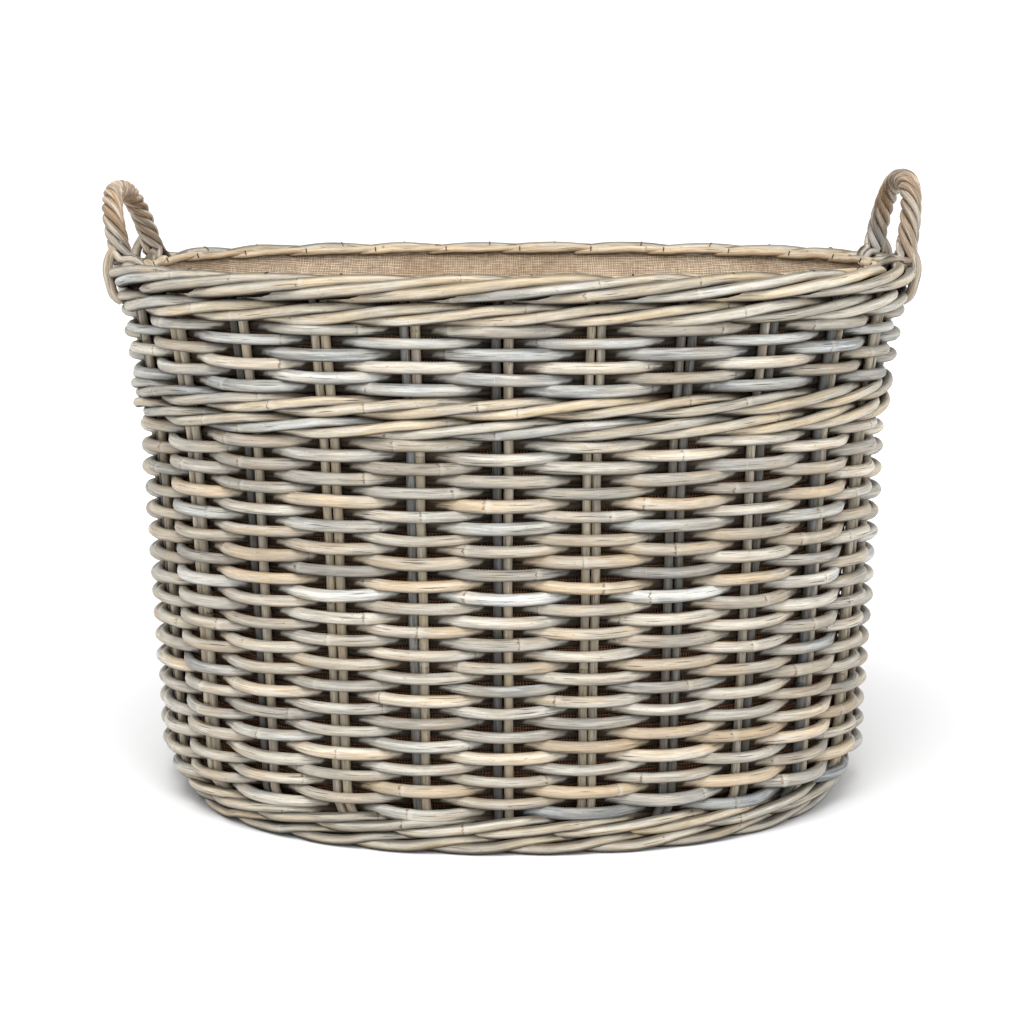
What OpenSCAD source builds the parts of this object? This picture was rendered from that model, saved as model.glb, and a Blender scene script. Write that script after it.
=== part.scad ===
// Oval wicker log basket with a hessian lining and two rope-twisted handles.
// Width runs along X, depth along Y with the front at -Y, and height along Z.
// The origin is the centre of the oval that the foot border rests on.

/* [Body] */
// Length of the oval through the stakes, at the ground
stake_oval_l = 549.7; // [530:1:580]
// Width of the oval through the stakes, at the ground
stake_oval_w = 434; // [420:1:450]
// Squareness of the oval, where 2 is a plain ellipse
oval_power = 2.3; // [2.1:0.1:2.5]
// Outward lean of each end from the ground up to the mid wale
end_lean_low = 13.5; // [4:0.5:16]
// Further outward lean of each end from the mid wale up to the rim
end_lean_high = 13; // [6:1:16]
// Outward lean of the front and back from the ground up to the mid wale
front_lean_low = 5.4; // [2:0.1:10]
// Further outward lean of the front and back from the mid wale up to the rim
front_lean_high = 7.8; // [4:0.1:10]
// How far each end is drawn in at the ground
foot_tuck = 27; // [0:1:28]
// How far the front and back are let out at the ground
foot_spread = 6; // [0:1:8]

/* [Stakes] */
// Number of stake pairs round the oval
stake_pairs = 26; // [24:2:28]
// Diameter of one stake
stake_d = 6.6; // [5.5:0.1:7]
// Distance between the centres of the two stakes of a pair
pair_gap = 7.6; // [7.2:0.1:8.2]
// Shift of the pairs round the oval, in stake spacings
pair_shift = -0.1; // [-0.5:0.1:0.5]

/* [Weaving rows] */
// Thickness of a weaving rod across the wall
rod_t = 9; // [8:0.1:9.2]
// Height of a weaving rod
rod_h = 8.2; // [7:0.1:8.4]
// Height from one row to the next
row_pitch = 8.6; // [8.5:0.1:8.8]
// Number of rows below the mid wale
lower_rows = 33; // [29:2:33]
// Number of rows above the mid wale
upper_rows = 6; // [4:2:6]

/* [Wales and borders] */
// Height of one wale round
wale_h = 15; // [12:0.5:15]
// Height of the foot wale
foot_wale_h = 11.4; // [8:0.1:11.4]
// Height of the foot border
foot_border_h = 12; // [9:0.5:12]
// Height of the top border
top_border_h = 17.5; // [14:0.5:18]
// Width of the top border across the rim
top_border_w = 25.6; // [22:0.2:30]
// Height of the flat inner band of the rim
inner_band_h = 8; // [6:0.5:10]

/* [Lining] */
// Thickness of the hessian
hessian_t = 1.6; // [1.2:0.1:2]
// Height of the turned hem
hem_h = 12; // [8:1:14]

/* [Handles] */
// Half width of the handle arch, to the middle of the rope
arch_r = 62; // [55:1:66]
// Height of the left arch above its centre, to the middle of the rope
left_arch_h = 60; // [55:1:72]
// Height of the right arch above its centre, to the middle of the rope
right_arch_h = 69; // [55:1:72]
// Outward lean of each handle, in degrees
handle_lean = 12; // [0:1:14]
// Number of strands twisted into a handle
strands = 5; // [4:1:5]
// Diameter of one strand
strand_d = 5.8; // [5:0.1:6]
// Radius of the circle that the strand centres follow inside the rope
lay_r = 6.6; // [6.2:0.1:6.8]
// Length along the rope for one full turn of a strand
lay_pitch = 58; // [52:1:70]

/* [Floor] */
// Number of cross bars under the floor
floor_bars = 7; // [5:2:7]
// Distance between cross bars
bar_gap = 70; // [64:1:72]
// Diameter of a cross bar
bar_d = 10; // [8:0.5:10]
// Thickness of a floor strand
floor_rod_t = 4.6; // [4:0.1:4.6]
// Width of a floor strand
floor_rod_w = 9; // [8:0.1:9.1]

/* [Hidden] */
// Heights, from the ground up
foot_wale_z = foot_border_h + 0.4;
stake_z = foot_border_h + 0.3;
first_row_z = 28.3;
mid_wale_z = first_row_z + row_pitch * (lower_rows - 1) + rod_h / 2 + 0.7;
upper_row_z = mid_wale_z + 2 * wale_h + 1.4 + rod_h / 2;
top_wale_z = upper_row_z + row_pitch * (upper_rows - 1) + rod_h / 2 + 0.6;
border_z = top_wale_z + wale_h - 1 + 3.3;
stake_top_z = border_z - 0.4;
kink_z = 300;
rim_z = 390;
tuck_z = 34;
floor_z = 16;
hoop_z = 18.1;
lining_z = 27;
band_z = border_z + 4.7;
lining_top = band_z - 0.4;
seam_gap = 0.2;

// Offsets from the oval through the stakes, outward positive
row_off = stake_d / 2 + rod_t / 2 + 0.35;
clear_off = stake_d / 2 + 0.35;
row_face = row_off + rod_t / 2;
wale_face = row_face + 3.4;
foot_face = row_face + 1;
border_in = 4;
lining_face = row_face + 0.65;
border_off = 3.8;
band_in = 22;
band_out = border_off - top_border_w / 2 - 0.5;
hoop_d = 11.5;
hoop_off = -clear_off - hoop_d / 2;
floor_edge = hoop_off - hoop_d / 2 - 0.4;

// Half length of the straight stretch of a rod where it crosses a stake pair
crossing = pair_gap / 2 + stake_d / 2 + 0.9;
// Straight pieces round each plain oval band
band_steps = 78;
// Straight pieces round each rounded oval tube
tube_steps = 52;
// Flat panels round the lining
lining_panels = 32;

// Fine table of lengths round the oval, which spaces the stakes evenly
table_z = 200;
table_steps = 720;
table_xy = [for (i = [0:table_steps]) oval_xy(table_t(i), table_z)];
length_to_t = [for (i = 0, s = 0; i <= table_steps;
                    s = s + step_length(i), i = i + 1) [s, table_t(i)]];
perimeter = length_to_t[table_steps][0];
stake_t = [for (j = [0:stake_pairs - 1]) stake_angle(j)];

lower_names = [for (i = [1:lower_rows]) str("weaving_row_", i < 10 ? "0" : "", i)];
upper_names = [for (i = [1:upper_rows]) str("upper_row_", i)];

function table_t(i) = -180 + 360 * i / table_steps;
function step_length(i) = i < table_steps ? norm(table_xy[i + 1] - table_xy[i]) : 0;
function wrap(s) = s - perimeter * floor(s / perimeter);
function stake_angle(j) =
    lookup(wrap(perimeter * (0.5 + (j + pair_shift) / stake_pairs)), length_to_t);

// Signed power, which squares up the ellipse
function spow(v, e) = sign(v) * pow(abs(v), e);
// Outward lean at height z, with its share below the kink and above it
function lean(z, low, high) =
    z < kink_z ? low * z / kink_z : low + high * (z - kink_z) / (rim_z - kink_z);
// 1 at the ground and 0 from tuck_z up
function tuck(z) = max(0, 1 - z / tuck_z);
function half_l(z) = stake_oval_l / 2 + lean(z, end_lean_low, end_lean_high) - foot_tuck * tuck(z);
function half_w(z) = stake_oval_w / 2 + lean(z, front_lean_low, front_lean_high) + foot_spread * tuck(z);
// Point on the oval at height z: t = 0 is the front, 90 is +X
function oval_xy(t, z) = [
    half_l(z) * spow(sin(t), 2 / oval_power),
    -half_w(z) * spow(cos(t), 2 / oval_power)];
function unit(v) = v / norm(v);
function slope_xy(p, z) = [
    spow(p[0] / half_l(z), oval_power - 1) / half_l(z),
    spow(p[1] / half_w(z), oval_power - 1) / half_w(z)];
function outward(t, z) = unit(slope_xy(oval_xy(t, z), z));
function along(t, z) = [-outward(t, z)[1], outward(t, z)[0]];
function wall_xy(t, z, off) = oval_xy(t, z) + off * outward(t, z);
function wall_point(t, z, off) = [wall_xy(t, z, off)[0], wall_xy(t, z, off)[1], z];
// Evenly spaced angle number i of n round the oval
function even_t(i, n) = lookup(perimeter * (i % n) / n, length_to_t);
function oval_line(off, z, n) = [for (i = [0:n - 1]) wall_xy(even_t(i, n), z, off)];

// A flat-topped oval band between two offsets
module oval_band(z, h, off_in, off_out, steps = band_steps) {
    translate([0, 0, z])
        linear_extrude(h)
            difference() {
                polygon(oval_line(off_out, z + h / 2, steps));
                polygon(oval_line(off_in, z + h / 2, steps));
            }
}

// Triangles that join rings of points: ring_count rings with sides points each
function side_faces(ring_count, sides, closed) = [
    for (i = [0:ring_count - (closed ? 1 : 2)], k = [0:sides - 1])
        let (a = i * sides + k,
             b = i * sides + (k + 1) % sides,
             c = ((i + 1) % ring_count) * sides + (k + 1) % sides,
             d = ((i + 1) % ring_count) * sides + k)
        each [[a, b, c], [a, c, d]]];
function end_faces(ring_count, sides) = [
    [for (k = [sides - 1:-1:0]) k],
    [for (k = [0:sides - 1]) (ring_count - 1) * sides + k]];

// A rounded oval tube that follows the wall
module oval_tube(z, off, width, height, sides) {
    points = [
        for (i = [0:tube_steps - 1], k = [0:sides - 1])
            let (a = 360 * (k + 0.5) / sides, grow = 1 / cos(180 / sides),
                 p = wall_xy(even_t(i, tube_steps), z, off + grow * width / 2 * cos(a)))
            [p[0], p[1], z + grow * height / 2 * sin(a)]];
    polyhedron(points, side_faces(tube_steps, sides, true), convexity = 6);
}

// A round rod swept along a list of centres, with the directions across it given for each
module swept_rod(centres, side_a, side_b, d, sides) {
    points = [
        for (i = [0:len(centres) - 1], k = [0:sides - 1])
            let (a = 360 * k / sides)
            centres[i] + d / 2 * (cos(a) * side_a[i] + sin(a) * side_b[i])];
    faces = concat(side_faces(len(centres), sides, false), end_faces(len(centres), sides));
    polyhedron(points, faces, convexity = 6);
}

// One stake of every pair, on one side of the pair's centre line, bent at the foot and the mid wale
module stakes(side) {
    heights = [stake_z, tuck_z, kink_z, stake_top_z];
    for (t = stake_t) {
        step = side * pair_gap / 2 * concat(along(t, table_z), [0]);
        centres = [for (z = heights) wall_point(t, z, 0) + step];
        swept_rod(centres, [for (z = heights) [1, 0, 0]], [for (z = heights) [0, 1, 0]],
                  stake_d, 8);
    }
}

module left_stakes() { color([0.50, 0.46, 0.41]) stakes(-1); }
module right_stakes() { color([0.42, 0.43, 0.44]) stakes(1); }

// Outline of a weaving rod: outside every second stake pair, inside the ones between
function row_line(z, parity, skin) = [
    for (j = [0:stake_pairs - 1], end = [-1, 1])
        let (t = stake_t[j], side = (j + parity) % 2 == 0 ? 1 : -1)
        wall_xy(t, z, side * row_off + skin) + end * crossing * along(t, z)];

module row(z, parity) {
    translate([0, 0, z - rod_h / 2])
        linear_extrude(rod_h)
            difference() {
                polygon(row_line(z, parity, rod_t / 2));
                polygon(row_line(z, parity, -rod_t / 2));
            }
}

module weaving_row(i) {
    color(i % 2 == 0 ? [0.70, 0.66, 0.58] : [0.62, 0.62, 0.60])
        row(first_row_z + row_pitch * (i - 1), i % 2);
}

module upper_row(i) {
    color(i % 2 == 0 ? [0.72, 0.66, 0.56] : [0.64, 0.64, 0.61])
        row(upper_row_z + row_pitch * (i - 1), i % 2);
}

// A wale round: rods outside the stakes and rods inside them
module wale(z, h) {
    oval_band(z, h, clear_off, wale_face);
    oval_band(z, h, -row_face, -clear_off);
}

module mid_wale_lower() { color([0.70, 0.64, 0.54]) wale(mid_wale_z, wale_h); }
module mid_wale_upper() { color([0.66, 0.62, 0.55]) wale(mid_wale_z + wale_h + 0.4, wale_h); }
module top_wale() { color([0.67, 0.64, 0.57]) wale(top_wale_z, wale_h - 1); }
module foot_wale() {
    color([0.66, 0.62, 0.55]) oval_band(foot_wale_z, foot_wale_h, clear_off, foot_face);
}
module foot_border() {
    color([0.62, 0.57, 0.49]) oval_band(0, foot_border_h, -border_in, foot_face);
}

module top_border() {
    color([0.72, 0.67, 0.57])
        oval_tube(border_z + top_border_h / 2, border_off, top_border_w, top_border_h, 12);
}

module inner_band() {
    color([0.78, 0.66, 0.48]) oval_band(band_z, inner_band_h, -band_in, band_out);
}

module border_nails() {
    nail_d = 3;
    nail_h = 1;
    nail_gap = 0.25;
    nail_z = band_z + inner_band_h / 2;
    color([0.16, 0.13, 0.11])
        for (t = stake_t) {
            n = outward(t, nail_z);
            p = wall_point(t, nail_z, -band_in - nail_gap);
            translate(p)
                rotate([0, -90, atan2(n[1], n[0])])
                    cylinder(h = nail_h, d = nail_d, $fn = 16);
        }
}

// Floor of the lining, which lies on the woven floor inside the lining's wall
module lining_floor() {
    edge = lining_face + hessian_t + seam_gap;
    color([0.66, 0.52, 0.36])
        translate([0, 0, lining_z])
            linear_extrude(hessian_t)
                polygon(oval_line(-edge, lining_z, lining_panels));
}

// Outline of lining panel i at height z, a little short of its neighbours
function panel_line(i, z) =
    let (a = even_t(i, lining_panels),
         b = even_t(i + 1, lining_panels),
         inner = -lining_face - hessian_t,
         line = [wall_xy(a, z, inner), wall_xy(b, z, inner),
                 wall_xy(b, z, -lining_face), wall_xy(a, z, -lining_face)],
         short = seam_gap / 2 * unit(line[1] - line[0]))
    [line[0] + short, line[1] - short, line[2] - short, line[3] + short];

// Flat panel number i of the lining's wall, between two heights
module lining_panel(i, low, high) {
    points = [for (z = [low, high], p = panel_line(i, z)) [p[0], p[1], z]];
    polyhedron(points, concat(side_faces(2, 4, false), end_faces(2, 4)), convexity = 2);
}

// Half of the lining's wall, from the seam at the front round one end to the seam at the back
module lining_wall(side) {
    half = lining_panels / 2;
    first = side > 0 ? half : 0;
    for (i = [first:first + half - 1]) {
        lining_panel(i, lining_z, kink_z);
        lining_panel(i, kink_z + seam_gap, lining_top);
    }
}

module lining_left() { color([0.68, 0.54, 0.38]) lining_wall(-1); }
module lining_right() { color([0.70, 0.56, 0.40]) lining_wall(1); }

module lining_hem() {
    face = lining_face + hessian_t + 0.3;
    color([0.72, 0.58, 0.42])
        oval_band(lining_top - hem_h, hem_h, -face - hessian_t, -face, lining_panels);
}

// Arch of twisted strands over one end of the rim, side = -1 for left and 1 for right
module handle(side) {
    rings = 40;
    sides = 6;
    arch_z = border_z + top_border_h - 6;
    arch_h = side < 0 ? left_arch_h : right_arch_h;
    plane_x = half_l(arch_z) + 4;
    foot_z = border_z + top_border_h + 0.8;
    pivot_z = (foot_z + arch_z + arch_h + lay_r + strand_d / 2) / 2;
    start = asin((foot_z - arch_z) / (arch_r - lay_r - strand_d / 2));
    span = 180 - 2 * start;
    turns = arch_r * span * PI / 180 / lay_pitch;
    for (s = [0:strands - 1]) {
        angle = [for (i = [0:rings - 1]) 180 - start - span * i / (rings - 1)];
        lay = [for (i = [0:rings - 1]) 360 * (s / strands - turns * i / (rings - 1))];
        radial = [for (a = angle) [0, cos(a), sin(a)]];
        across = [for (a = angle) [1, 0, 0]];
        centres = [for (i = [0:rings - 1])
            [0, arch_r * cos(angle[i]), arch_z - pivot_z + arch_h * sin(angle[i])]
            + lay_r * (cos(lay[i]) * radial[i] + sin(lay[i]) * across[i])];
        translate([side * plane_x, 0, pivot_z])
            rotate([0, side * handle_lean, 0])
                swept_rod(centres, radial, across, strand_d, sides);
    }
}

// Hooks of strand beside each handle leg, over the rim, down its outside and under the top wale
module lashing(side) {
    hook_angle = 15.6;
    top_z = rim_z + 20;
    rim_gap = 3;
    outer = border_off + top_border_w / 2 + strand_d / 2 + rim_gap;
    over_z = border_z + top_border_h + strand_d / 2 + 0.8;
    route = [[border_off, over_z], [outer - 9, over_z], [outer - 2.5, over_z - 3],
             [outer, over_z - 10], [outer, top_wale_z + 7], [outer - 1, top_wale_z + 2],
             [outer - 4.5, top_wale_z - 2.5]];
    last = len(route) - 1;
    for (leg = [-1, 1]) {
        t = side * 90 + leg * hook_angle;
        n = concat(outward(t, rim_z), [0]);
        tangent = [for (i = [0:last]) unit(route[min(i + 1, last)] - route[max(i - 1, 0)])];
        centres = [for (v = route) concat(wall_xy(t, top_z, v[0]), [v[1]])];
        side_a = [for (v = tangent) -v[1] * n + [0, 0, v[0]]];
        side_b = [for (v = tangent) concat(-along(t, rim_z), [0])];
        swept_rod(centres, side_a, side_b, strand_d, 8);
    }
}

module handle_left() { color([0.60, 0.50, 0.39]) handle(-1); }
module handle_right() { color([0.60, 0.52, 0.43]) handle(1); }
module lashing_left() { color([0.62, 0.52, 0.39]) lashing(-1); }
module lashing_right() { color([0.64, 0.60, 0.53]) lashing(1); }

module base_hoop() {
    color([0.52, 0.44, 0.34]) oval_tube(hoop_z, hoop_off, hoop_d, hoop_d, 8);
}

// Half length of the floor along one axis, at distance v from the centre on the other
function floor_reach(v, main, other) =
    main * pow(1 - pow(abs(v) / other, oval_power), 1 / oval_power);
function floor_half_l() = half_l(floor_z) + floor_edge;
function floor_half_w() = half_w(floor_z) + floor_edge;
function bar_x(i) = bar_gap * (i - (floor_bars - 1) / 2);

module base_bars() {
    color([0.55, 0.47, 0.36])
        for (i = [0:floor_bars - 1]) {
            reach = floor_reach(abs(bar_x(i)) + bar_d / 2, floor_half_w(), floor_half_l());
            translate([bar_x(i), reach, floor_z])
                rotate([90, 0, 0])
                    cylinder(h = 2 * reach, d = bar_d, $fn = 24);
        }
}

// Line of a floor strand, over and under the bars that it reaches
function strand_line(reach, parity) =
    let (lift = bar_d / 2 + floor_rod_t / 2 + 0.2,
         level_half = bar_d / 2 + 1,
         crossed = [for (i = [0:floor_bars - 1]) if (abs(bar_x(i)) + bar_d < reach) i],
         level = [for (i = crossed) (i + parity) % 2 == 0 ? lift : -lift],
         last = len(crossed) - 1)
    concat([[-reach, level[0]]],
           [for (n = [0:last], end = [-1, 1]) [bar_x(crossed[n]) + end * level_half, level[n]]],
           [[reach, level[last]]]);
function strand_outline(line) = concat(
    [for (p = line) p + [0, floor_rod_t / 2]],
    [for (i = [len(line) - 1:-1:0]) line[i] - [0, floor_rod_t / 2]]);

module base_weave() {
    strand_gap = floor_rod_w + 0.4;
    floor_margin = 12;
    half_count = floor((floor_half_w() - floor_margin) / strand_gap);
    color([0.66, 0.58, 0.45])
        for (k = [-half_count:half_count]) {
            y = k * strand_gap;
            reach = floor_reach(abs(y) + floor_rod_w / 2, floor_half_l(), floor_half_w()) - 1;
            translate([0, y + floor_rod_w / 2, floor_z])
                rotate([90, 0, 0])
                    linear_extrude(floor_rod_w)
                        polygon(strand_outline(strand_line(reach, abs(k) % 2)));
        }
}

foot_border();
foot_wale();
left_stakes();
right_stakes();
for (i = [1:lower_rows]) weaving_row(i);
mid_wale_lower();
mid_wale_upper();
for (i = [1:upper_rows]) upper_row(i);
top_wale();
top_border();
inner_band();
border_nails();
lining_floor();
lining_left();
lining_right();
lining_hem();
handle_left();
handle_right();
lashing_left();
lashing_right();
base_hoop();
base_bars();
base_weave();
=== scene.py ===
"""Looks of the oval wicker log basket: rattan rods, borders, handles and hessian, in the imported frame."""
import math

import bpy
import numpy as np
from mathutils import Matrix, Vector


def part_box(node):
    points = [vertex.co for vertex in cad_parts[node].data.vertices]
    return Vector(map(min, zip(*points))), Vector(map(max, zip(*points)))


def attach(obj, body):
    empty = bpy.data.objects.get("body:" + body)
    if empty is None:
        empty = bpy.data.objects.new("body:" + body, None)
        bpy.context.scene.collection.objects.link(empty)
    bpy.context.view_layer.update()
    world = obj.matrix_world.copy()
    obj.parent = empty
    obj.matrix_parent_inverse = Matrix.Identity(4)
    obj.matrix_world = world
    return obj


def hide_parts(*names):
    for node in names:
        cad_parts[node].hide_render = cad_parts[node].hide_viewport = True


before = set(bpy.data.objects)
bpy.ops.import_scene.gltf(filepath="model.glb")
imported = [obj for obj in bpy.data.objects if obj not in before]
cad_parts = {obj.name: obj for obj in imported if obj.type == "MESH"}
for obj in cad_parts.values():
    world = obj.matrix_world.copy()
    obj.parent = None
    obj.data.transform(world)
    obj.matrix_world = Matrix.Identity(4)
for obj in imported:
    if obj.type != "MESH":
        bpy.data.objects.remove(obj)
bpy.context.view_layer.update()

# ---------------------------------------------------------------- driving dimensions, in metres
PAIRS = 26  # stake pairs round the oval
PAIR_SHIFT = -0.1  # shift of the pairs, in stake spacings
OVAL_POWER = 2.3  # squareness of the oval
TUCK_Z = 0.034  # height below which the wall is drawn in
KINK_Z = 0.300  # height where the wall starts to lean out more
LOWER_ROWS = 33
UPPER_ROWS = 6
STAKE_R = 0.0035
PAIR_HALF = 0.0039  # half the distance between the two stakes of a pair
ROD_R = 0.0045
WALE_R = 0.0042
MID_WALE_R = 0.0039
RIM_R = 0.0042
FOOT_R = 0.0040
ROW_OUT = STAKE_R + ROD_R  # how far a rod's centre stands out where it crosses a stake
FOOT_FACE = 0.01365  # outer face of each band in the frame, from the line of the stakes
WALE_FACE = 0.01605
LINING_OUT = -0.0141  # middle of the hessian, from the line of the stakes
CLOTH_T = 0.0012

ROOT = "root"
rng = np.random.default_rng(26)


# ---------------------------------------------------------------- the wall's shape
def mid_z(node):
    """The height of a node's middle."""
    low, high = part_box(node)
    return (low.z + high.z) / 2


def half_height(node):
    """Half the height of a node, which is the radius of a rod that lies flat."""
    low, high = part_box(node)
    return (high.z - low.z) / 2


def half_sizes(node, face):
    """Half length and half width of the stakes' oval at the middle height of a band, and that height."""
    low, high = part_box(node)
    return (high.x - low.x) / 2 - face, (high.y - low.y) / 2 - face, mid_z(node)


def wall_stations():
    """Heights and half sizes of the stakes' oval, straight between them."""
    border = np.array(half_sizes("foot_border", FOOT_FACE))
    wale = np.array(half_sizes("foot_wale", FOOT_FACE))
    mid = np.array(half_sizes("mid_wale_lower", WALE_FACE))
    top = np.array(half_sizes("top_wale", WALE_FACE))
    foot_slope = (wale - border) / (wale[2] - border[2])
    ground = border - foot_slope * border[2]
    tuck = ground + foot_slope * TUCK_Z
    upper_slope = (top - mid) / (top[2] - mid[2])
    kink = mid + upper_slope * (KINK_Z - mid[2])
    above = top + upper_slope * 0.1
    return np.array([ground, tuck, kink, above])


STATIONS = wall_stations()


def half_lengths(z):
    """Half length and half width of the stakes' oval at height z."""
    a = np.interp(z, STATIONS[:, 2], STATIONS[:, 0])
    b = np.interp(z, STATIONS[:, 2], STATIONS[:, 1])
    return a, b


def signed_power(v, e):
    """A power of the size of v, with the sign of v."""
    return np.sign(v) * np.abs(v) ** e


def oval_point(angle, z):
    """x and y on the stakes' oval, which is a superellipse."""
    a, b = half_lengths(z)
    x = a * signed_power(np.sin(angle), 2 / OVAL_POWER)
    y = -b * signed_power(np.cos(angle), 2 / OVAL_POWER)
    return x, y


def turn_table(steps=1440, z=0.2):
    """Even lengths round the oval against the angle, so that the stakes are evenly spaced."""
    angle = np.linspace(-math.pi, math.pi, steps + 1)
    x, y = oval_point(angle, np.full_like(angle, z))
    length = np.concatenate([[0], np.cumsum(np.hypot(np.diff(x), np.diff(y)))])
    return length / length[-1], angle, length[-1]


TURN_SHARE, TURN_ANGLE, PERIMETER = turn_table()


def wall(turn, z, out):
    """Points on the wall and its outward directions.

    turn runs from 0 at the front towards +X, and 1 is once round. out is how far outside the stakes' oval.
    """
    turn, z, out = np.broadcast_arrays(np.asarray(turn, float), z, out)
    angle = np.interp((turn + 0.5) % 1.0, TURN_SHARE, TURN_ANGLE)
    x, y = oval_point(angle, z)
    a, b = half_lengths(z)
    nx = signed_power(x / a, OVAL_POWER - 1) / a
    ny = signed_power(y / b, OVAL_POWER - 1) / b
    size = np.hypot(nx, ny)
    normal = np.stack([nx / size, ny / size, np.zeros_like(nx)], -1)
    points = np.stack([x, y, np.asarray(z, float)], -1) + normal * out[..., None]
    return points, normal


def stake_turn(j):
    """Where stake pair j stands, as a turn."""
    return (j + PAIR_SHIFT) / PAIRS


# ---------------------------------------------------------------- irregularity
def wander(x, length):
    """Smooth noise of about -1 to 1 along x, whose waves are about length long."""
    total = np.zeros_like(x, float)
    for k, share in ((1.0, 0.55), (2.3, 0.3), (4.7, 0.15)):
        total += share * np.sin(2 * math.pi * k * x / length * rng.uniform(0.8, 1.2) + rng.uniform(0, 6.3))
    return total


def smooth_keys(keys, x):
    """A smooth curve through (x, value, value...) keys, returned as one array per value."""
    keys = np.asarray(keys, float)
    kx = keys[:, 0]
    i = np.clip(np.searchsorted(kx, x) - 1, 0, len(kx) - 2)
    h = kx[i + 1] - kx[i]
    u = (x - kx[i]) / h
    found = []
    for column in range(1, keys.shape[1]):
        ky = keys[:, column]
        slope = np.gradient(ky, kx)
        found.append(
            (2 * u**3 - 3 * u**2 + 1) * ky[i]
            + (u**3 - 2 * u**2 + u) * h * slope[i]
            + (-2 * u**3 + 3 * u**2) * ky[i + 1]
            + (u**3 - u**2) * h * slope[i + 1]
        )
    return found


def ease(x):
    """0 below 0, 1 above 1, and smooth between."""
    x = np.clip(x, 0, 1)
    return x * x * (3 - 2 * x)


def further_in(out, start, depth):
    """0 where out is start or more, and 1 where it is at least depth less than that."""
    return np.clip((start - out) / depth, 0, 1)


def unit(v):
    """Vectors made 1 long."""
    return v / np.maximum(np.linalg.norm(v, axis=-1, keepdims=True), 1e-12)


def distance_along(points):
    """The distance from the start of a line of points to each of them."""
    return np.concatenate([[0], np.cumsum(np.linalg.norm(np.diff(points, axis=0), axis=1))])


# ---------------------------------------------------------------- rods
class Tone:
    """How one rod differs: warm -1 blue-grey to 1 tan, light as a factor, wash 0 bare to 1 white.

    Each is a number, or an array with a value for each ring of points along the rod.
    """

    def __init__(self, warm, light, wash, change=0.12):
        self.warm, self.light, self.wash, self.change = warm, light, wash, change


def random_tone(warm, light, wash, spread=0.22, light_spread=0.09):
    """A tone near the given one."""
    return Tone(
        float(np.clip(rng.normal(warm, spread), -1, 1)),
        float(np.clip(rng.normal(light, light_spread), 0.25, 1.25)),
        float(np.clip(rng.normal(wash, spread), 0, 1)),
    )


FULL_PAINTED_SHADE = 0.98  # painted shade on a rod's end where it is out of sight behind the stakes


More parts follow.
